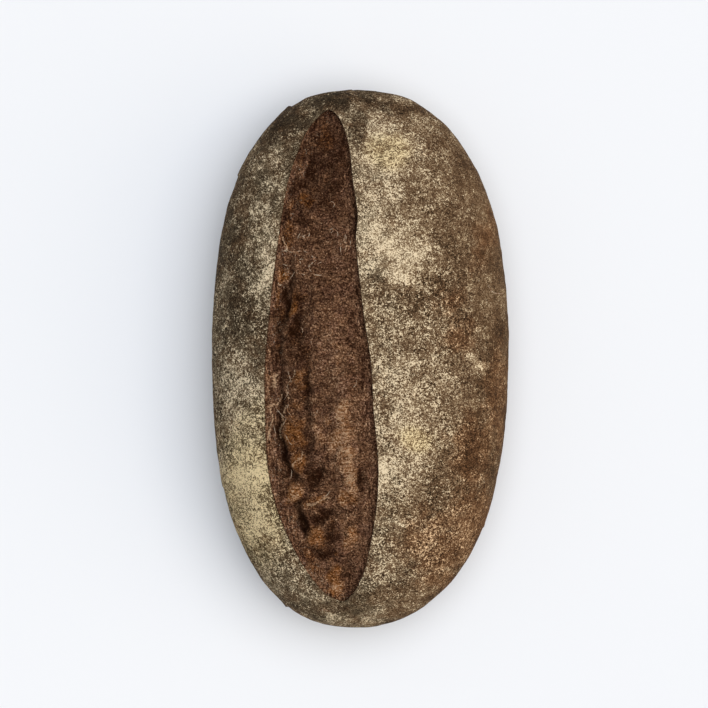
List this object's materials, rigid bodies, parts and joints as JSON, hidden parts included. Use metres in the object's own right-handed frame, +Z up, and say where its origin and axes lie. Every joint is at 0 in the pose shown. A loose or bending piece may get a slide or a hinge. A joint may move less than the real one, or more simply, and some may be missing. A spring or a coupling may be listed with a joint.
{
  "type": "rye bread loaf",
  "caption": "Whole oval rye loaf with a flat base, a domed floured crust and a long torn-open cut along its top.",
  "frame": {"origin": "middle of the flat base, on the surface that the loaf rests on", "axes": "+Z up through the dome, +Y along the loaf towards the end where the cut reaches nearest the outline, +X to the side away from the cut"},
  "size_m": [0.1544, 0.2804, 0.0809],
  "materials": {
    "crust": "dry dark brown rye crust dusted with pale flour, with a bare red-brown torn band along the top"
  },
  "bodies": {
    "root": {"rye_loaf": "crust"}
  },
  "joints": []
}
